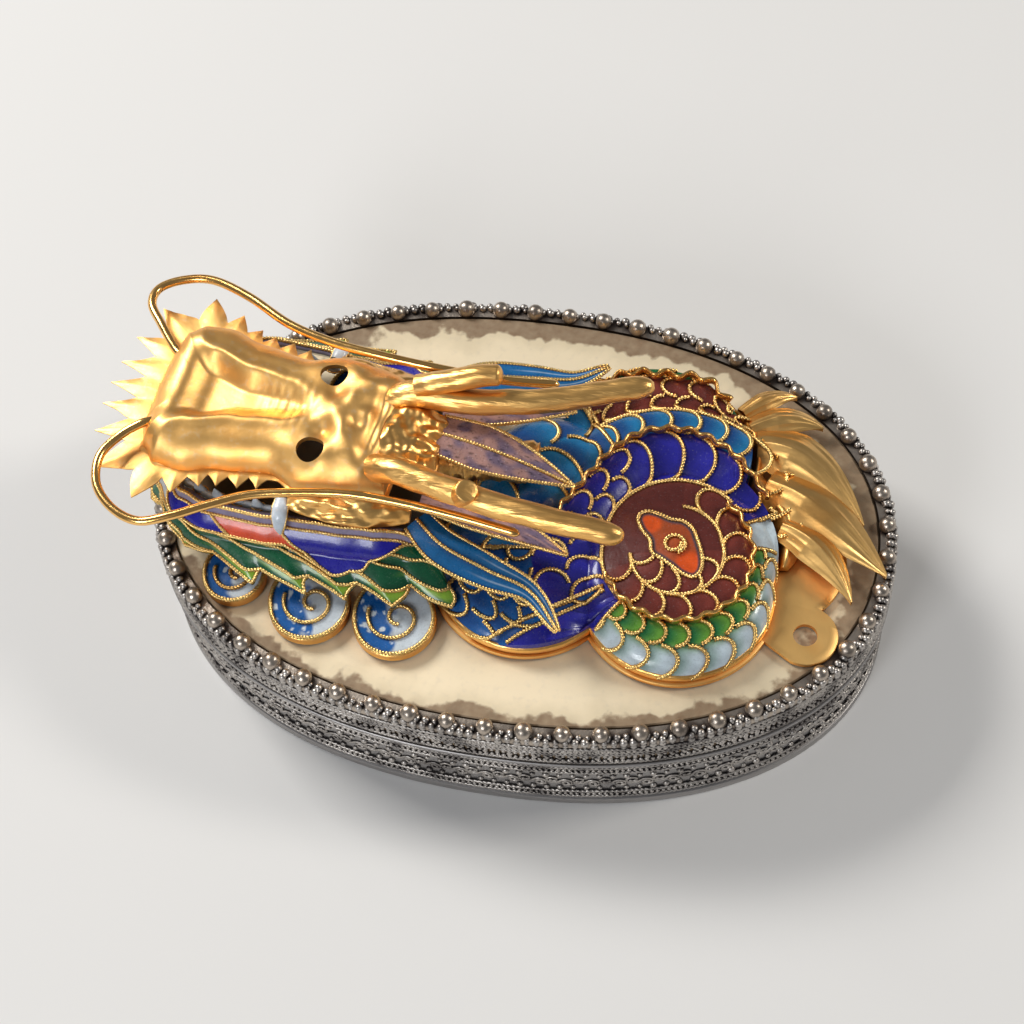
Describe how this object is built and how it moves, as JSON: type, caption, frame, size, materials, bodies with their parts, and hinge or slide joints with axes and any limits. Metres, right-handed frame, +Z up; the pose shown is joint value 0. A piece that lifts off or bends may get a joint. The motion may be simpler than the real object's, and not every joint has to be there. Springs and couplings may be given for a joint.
{
  "type": "lidded oval enamel dragon box",
  "caption": "Small oval filigree box with a lift-off lid that carries a gilt and cloisonne enamel dragon in relief with horns and wire whiskers.",
  "frame": {"origin": "middle of the flat underside, on the surface that the box stands on", "axes": "+X along the box's length towards the dragon's tail, -Y towards the side seen in front, +Z up"},
  "size_m": [0.1057, 0.0666, 0.0415],
  "materials": {
    "tarnished_silver": "dark tarnished silver filigree with bright worn edges",
    "pale_silver": "warm pale silver with a brown tarnished margin",
    "gilt": "polished fire gilt, brown in the hollows",
    "cobalt_enamel": "glossy fired enamel in cells of many colours between twisted gilt wires",
    "turquoise_enamel": "glossy fired enamel between gilt wires",
    "green_enamel": "glossy fired enamel panels between gilt wires",
    "rose_enamel": "speckled rose enamel between gilt wires",
    "white_enamel": "glossy white enamel shaded with blue"
  },
  "bodies": {
    "root": {"box_base": "tarnished_silver", "box_lid": "pale_silver", "granule_border": "tarnished_silver", "back_plate": "gilt", "dragon_body": "cobalt_enamel", "crest_loop": "gilt", "crest_coil": "gilt", "crest_back": "gilt", "tail_fin": "gilt", "wave_scroll_1": "white_enamel", "wave_scroll_2": "white_enamel", "wave_scroll_3": "white_enamel", "wave_scroll_4": "white_enamel", "wave_scroll_5": "white_enamel", "wave_scroll_6": "white_enamel", "lower_jaw": "green_enamel", "head_shell": "gilt", "teeth_near": "white_enamel", "teeth_far": "white_enamel", "fang_near": "white_enamel", "fang_far": "white_enamel", "cheek_near": "gilt", "cheek_far": "gilt", "whisker_near": "gilt", "whisker_far": "gilt", "horn_near": "gilt", "horn_far": "gilt", "horn_collar": "gilt", "neck": "gilt", "mane_leaf_centre": "rose_enamel", "mane_leaf_near": "rose_enamel", "mane_leaf_far": "rose_enamel", "mane_lock_near": "turquoise_enamel", "mane_lock_far": "turquoise_enamel"}
  },
  "joints": []
}
